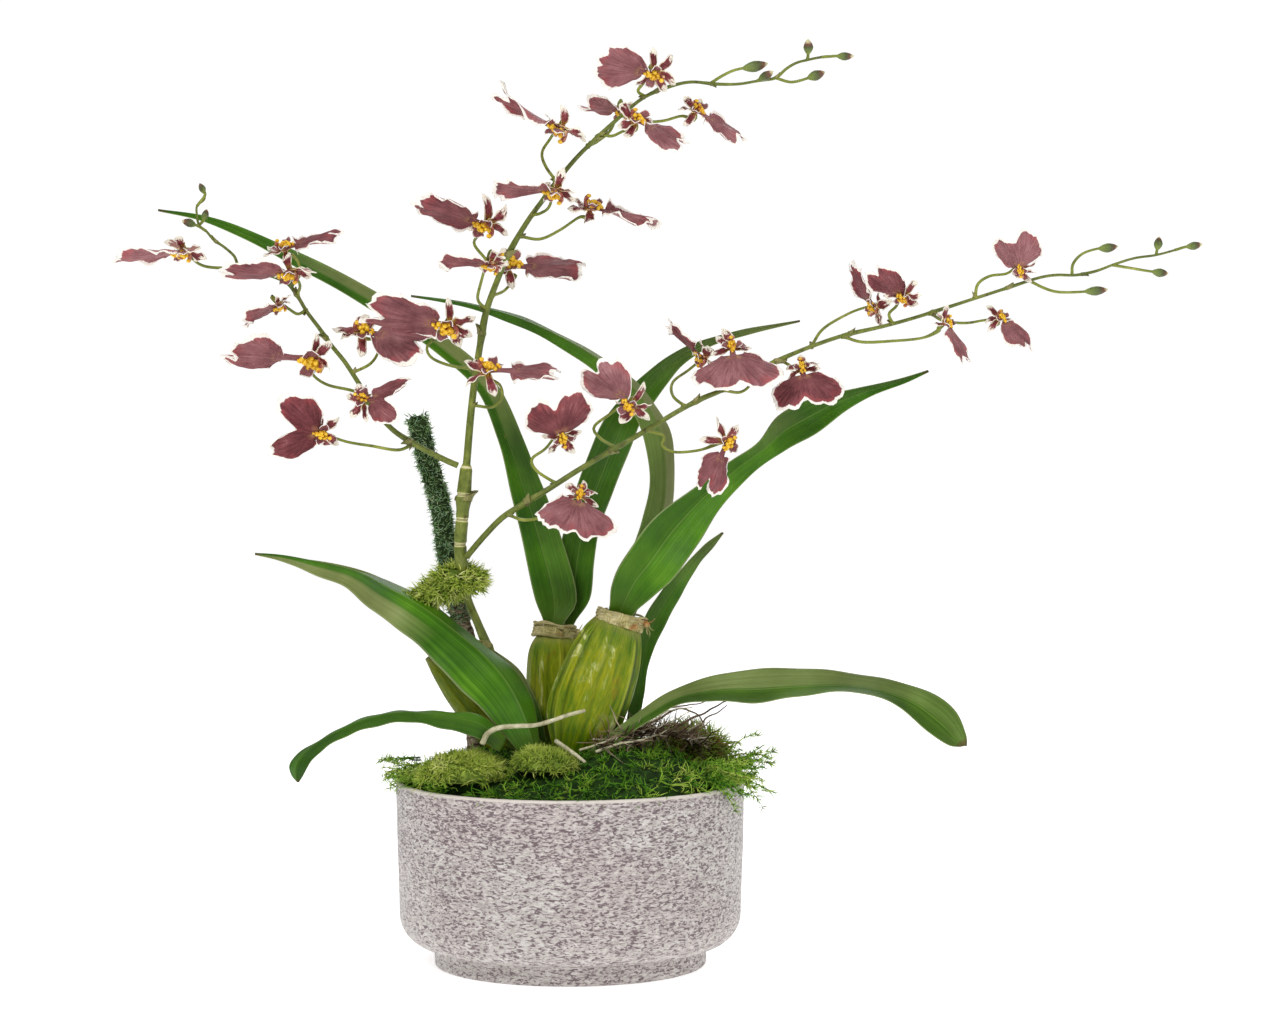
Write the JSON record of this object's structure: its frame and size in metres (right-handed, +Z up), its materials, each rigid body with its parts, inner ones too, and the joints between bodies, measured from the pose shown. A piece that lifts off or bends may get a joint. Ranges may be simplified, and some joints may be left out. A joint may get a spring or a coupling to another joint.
{
  "type": "potted orchid",
  "caption": "Flowering oncidium orchid with arching leaves and a branched spray of burgundy flowers, rooted under moss in a footed speckled ceramic pot.",
  "frame": {"origin": "centre of the pot's flat underside", "axes": "+Z up from the surface the pot stands on, +X to the right and -Y towards the viewer of the plant's front"},
  "size_m": [0.7606, 0.245, 0.6429],
  "materials": {
    "glaze": "semi-gloss speckled glaze",
    "mix": "rough chopped bark",
    "moss": "soft, matt",
    "cushion_moss": "soft, matt",
    "dry": "dry, matt",
    "bark": "mossy bark",
    "leaf": "satin leaf",
    "bulb": "satin, ribbed",
    "sheath": "dry papery sheath",
    "stem": "satin green stem",
    "petal": "velvety petal",
    "root": "matt pale root"
  },
  "bodies": {
    "root": {"pot": "glaze", "potting_mix": "mix", "sheet_moss": "moss", "cushion_moss_left": "cushion_moss", "cushion_moss_middle": "cushion_moss", "dried_moss_tuft": "dry", "moss_pole": "bark", "moss_tie": "cushion_moss", "rhizome": "root", "pseudobulb_left": "bulb", "pseudobulb_right": "bulb", "pseudobulb_young": "bulb", "sheath_left": "sheath", "sheath_right": "sheath", "leaf_left_arching": "leaf", "leaf_back_arching": "leaf", "leaf_right_recurved": "leaf", "leaf_right_long": "leaf", "leaf_right_short": "leaf", "leaf_right_low": "leaf", "leaf_left_large": "leaf", "leaf_left_back": "leaf", "leaf_left_low": "leaf", "flower_stem_main": "stem", "flower_stem_left": "stem", "flower_stem_right": "stem", "aerial_root_long": "root", "aerial_root_short": "root", "flower_m01": "petal", "flower_m02": "petal", "flower_m03": "petal", "flower_m04": "petal", "flower_m05": "petal", "flower_m06": "petal", "flower_m07": "petal", "flower_m08": "petal", "flower_m09": "petal", "flower_m10": "petal", "flower_m11": "petal", "flower_m12": "petal", "flower_l01": "petal", "flower_l02": "petal", "flower_l03": "petal", "flower_l04": "petal", "flower_l05": "petal", "flower_l06": "petal", "flower_l07": "petal", "flower_l08": "petal", "flower_r01": "petal", "flower_r02": "petal", "flower_r03": "petal", "flower_r04": "petal", "flower_r05": "petal", "flower_r06": "petal", "flower_r07": "petal", "flower_r08": "petal", "flower_r09": "petal", "flower_r10": "petal", "flower_r11": "petal", "flower_r12": "petal"}
  },
  "joints": []
}
